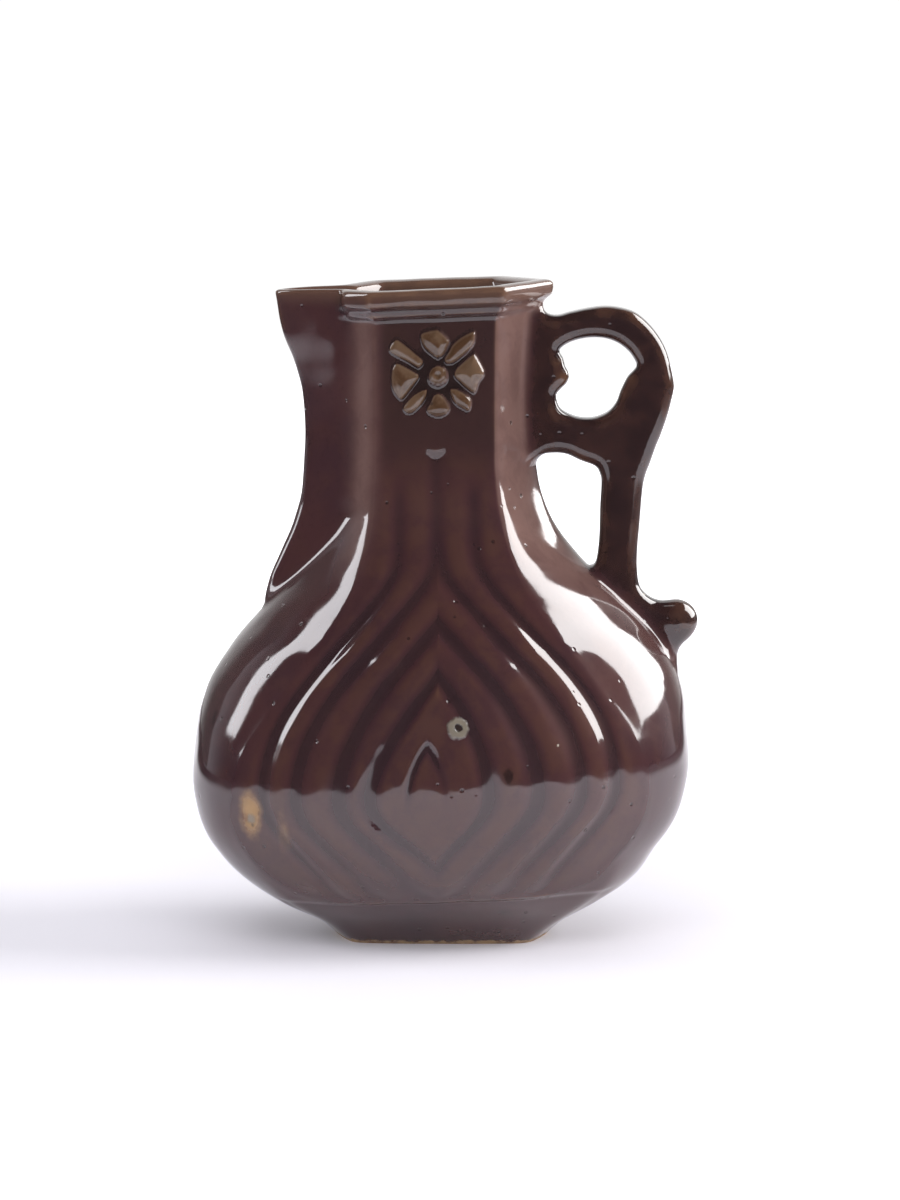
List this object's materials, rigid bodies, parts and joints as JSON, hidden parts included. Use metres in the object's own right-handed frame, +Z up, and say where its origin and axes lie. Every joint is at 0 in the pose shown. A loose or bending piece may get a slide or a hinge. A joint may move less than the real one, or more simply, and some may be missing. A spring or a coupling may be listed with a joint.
{
  "type": "moulded pottery jug",
  "caption": "Glazed moulded pottery jug: hexagonal neck, lobed belly with nested leaf flutes, rosette under the lip, keel spout and branch-shaped loop handle.",
  "frame": {"origin": "centre of the flat underside of the foot", "axes": "+Z up; +X towards the handle, -X towards the spout; -Y is the broad face that carries the rosette"},
  "size_m": [0.1256, 0.1012, 0.1646],
  "materials": {
    "glaze": "glossy dark reddish brown glaze over a moulded body, thin and lighter on raised edges, with pits, specks and a bare patch"
  },
  "bodies": {
    "root": {"jug": "glaze"}
  },
  "joints": []
}
